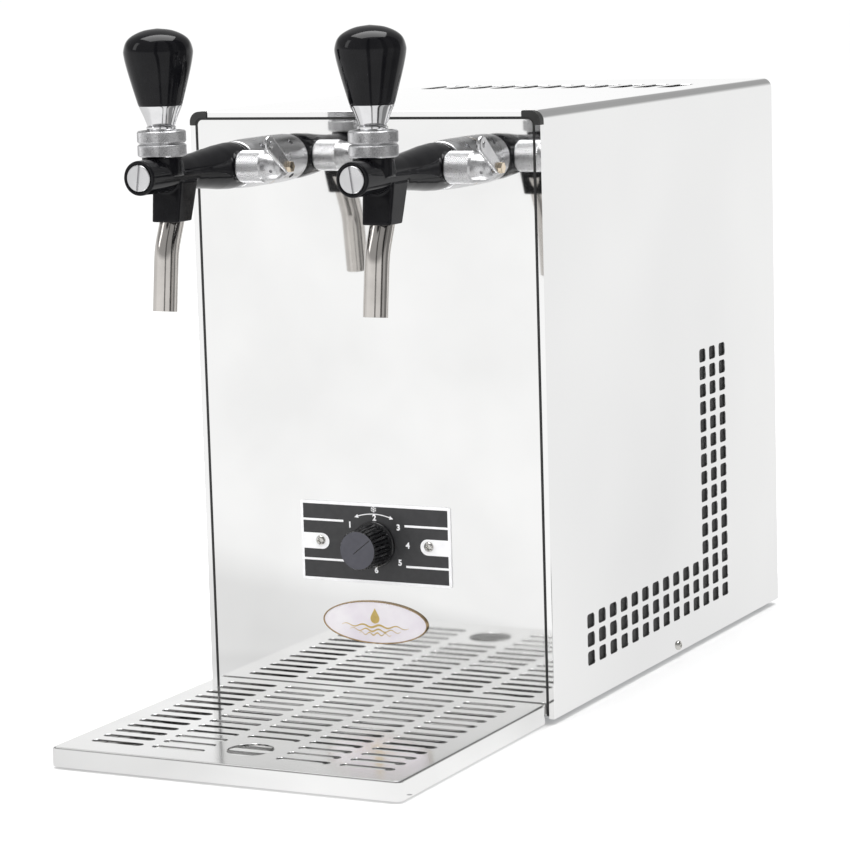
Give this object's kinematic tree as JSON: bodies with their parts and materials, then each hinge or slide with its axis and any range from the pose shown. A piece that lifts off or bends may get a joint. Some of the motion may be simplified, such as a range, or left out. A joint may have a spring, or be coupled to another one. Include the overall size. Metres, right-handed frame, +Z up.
{
  "type": "countertop beverage dispenser",
  "caption": "Countertop beverage cooler in polished sheet steel with lever taps on the front, drip tray with lift-off grate, thermostat dial, side vents and an inner cooling unit.",
  "frame": {"origin": "middle of the footprint, tray and rear stems included, on the counter", "axes": "+X to the right of a person at the taps, +Y from that person into the casing, +Z up"},
  "size_m": [0.2624, 0.643, 0.4592],
  "materials": {
    "badge_enamel": "pearl enamel in a gilt rim",
    "black_plastic": "moulded, matt",
    "black_rubber": "matt",
    "brass": "turned",
    "cast_aluminium": "as cast",
    "chrome": "plated, bright",
    "compressor_black": "black enamel",
    "copper": "drawn copper",
    "dial_plate": "printed black plate with white graduation",
    "fan_grey": "moulded",
    "fin_aluminium": "thin fins",
    "foam": "rigid foam",
    "galvanised": "zinc coated sheet",
    "handle_black": "gloss black",
    "knob_plastic": "fluted, satin",
    "knurled_chrome": "fine knurl, satin chrome",
    "polished_steel": "mirror polished stainless sheet",
    "screw_steel": "bright zinc",
    "seal_rubber": "matt",
    "spout_steel": "polished stainless tube",
    "steel_rod": "drawn stainless",
    "tap_black": "gloss black",
    "valve_plastic": "acetal"
  },
  "bodies": {
    "root": {"badge_plate": "badge_enamel", "base_pan": "galvanised", "bonnet_rings": "knurled_chrome", "cable_gland": "black_plastic", "casing_wrapper": "polished_steel", "compensator_collar_left": "knurled_chrome", "compensator_collar_right": "knurled_chrome", "compressor": "compressor_black", "compressor_grommets": "black_rubber", "condenser": "fin_aluminium", "cooling_block": "cast_aluminium", "corner_caps": "black_plastic", "coupling_nuts": "chrome", "evaporator_coil": "copper", "fan_motor": "fan_grey", "fan_shroud": "fan_grey", "filter_drier": "copper", "front_panel": "polished_steel", "front_plugs": "chrome", "inlet_stems": "steel_rod", "insulation_jacket": "foam", "lever_rings": "knurled_chrome", "pan_head_screws": "screw_steel", "panel_gasket": "black_rubber", "product_coil_left": "steel_rod", "product_coil_right": "steel_rod", "rear_panel": "galvanised", "refrigerant_lines": "copper", "rubber_feet": "black_rubber", "shank_left": "brass", "shank_nuts": "steel_rod", "shank_right": "brass", "spout_left": "spout_steel", "spout_right": "spout_steel", "switch_frame": "black_plastic", "tap_body_left": "tap_black", "tap_body_right": "tap_black", "thermostat_body": "black_plastic", "thermostat_plate": "dial_plate"},
    "handle_left": {"handle_grip_left": "handle_black", "handle_ferrule_left": "chrome", "lever_stem_left": "steel_rod"},
    "plunger_left": {"valve_plunger_left": "valve_plastic", "plunger_seals_left": "seal_rubber"},
    "compensator_left": {"compensator_lever_left": "chrome", "compensator_spindle_left": "brass"},
    "handle_right": {"handle_grip_right": "handle_black", "handle_ferrule_right": "chrome", "lever_stem_right": "steel_rod"},
    "plunger_right": {"valve_plunger_right": "valve_plastic", "plunger_seals_right": "seal_rubber"},
    "compensator_right": {"compensator_lever_right": "chrome", "compensator_spindle_right": "brass"},
    "dial": {"thermostat_knob": "knob_plastic", "thermostat_shaft": "steel_rod"},
    "tray": {"drip_tray": "polished_steel", "tray_pads": "black_rubber"},
    "grate": {"tray_grate": "polished_steel"},
    "fan": {"fan_rotor": "fan_grey"},
    "rocker": {"switch_rocker": "black_plastic"}
  },
  "joints": [
    {"name": "handle_tilt_left", "type": "hinge", "parent": "root", "child": "handle_left", "pos_m": [-0.075, -0.2365, 0.3915], "axis": [1, 0, 0], "range_deg": [-12, 25]},
    {"name": "plunger_slide_left", "type": "slide", "parent": "root", "child": "plunger_left", "axis": [0, 1, 0], "range_m": [-0.0052, 0.0106]},
    {"name": "compensator_turn_left", "type": "hinge", "parent": "root", "child": "compensator_left", "pos_m": [-0.045, -0.1625, 0.3675], "axis": [1, 0, 0], "range_deg": [-60, 60]},
    {"name": "handle_tilt_right", "type": "hinge", "parent": "root", "child": "handle_right", "pos_m": [0.075, -0.2365, 0.3915], "axis": [1, 0, 0], "range_deg": [-12, 25]},
    {"name": "plunger_slide_right", "type": "slide", "parent": "root", "child": "plunger_right", "axis": [0, 1, 0], "range_m": [-0.0052, 0.0106]},
    {"name": "compensator_turn_right", "type": "hinge", "parent": "root", "child": "compensator_right", "pos_m": [0.105, -0.1625, 0.3675], "axis": [1, 0, 0], "range_deg": [-60, 60]},
    {"name": "thermostat_turn", "type": "hinge", "parent": "root", "child": "dial", "pos_m": [0.0009, -0.1205, 0.1131], "axis": [0, 1, 0], "range_deg": [-90, 135]},
    {"name": "tray_pull", "type": "slide", "parent": "root", "child": "tray", "axis": [0, -1, 0], "range_m": [0, 0.24]},
    {"name": "grate_lift", "type": "slide", "parent": "tray", "child": "grate", "axis": [0, 0, 1], "range_m": [0, 0.06]},
    {"name": "fan_spin", "type": "hinge", "parent": "root", "child": "fan", "pos_m": [0, 0.2515, 0.087], "axis": [0, 1, 0], "continuous": true},
    {"name": "switch_press", "type": "hinge", "parent": "root", "child": "rocker", "pos_m": [0.098, 0.3035, 0.07], "axis": [1, 0, 0], "range_deg": [0, 16]}
  ],
  "couplings": [
    {"joint": "plunger_slide_left", "follows": "handle_tilt_left", "m_per_rad": 0.024},
    {"joint": "plunger_slide_right", "follows": "handle_tilt_right", "m_per_rad": 0.024}
  ]
}
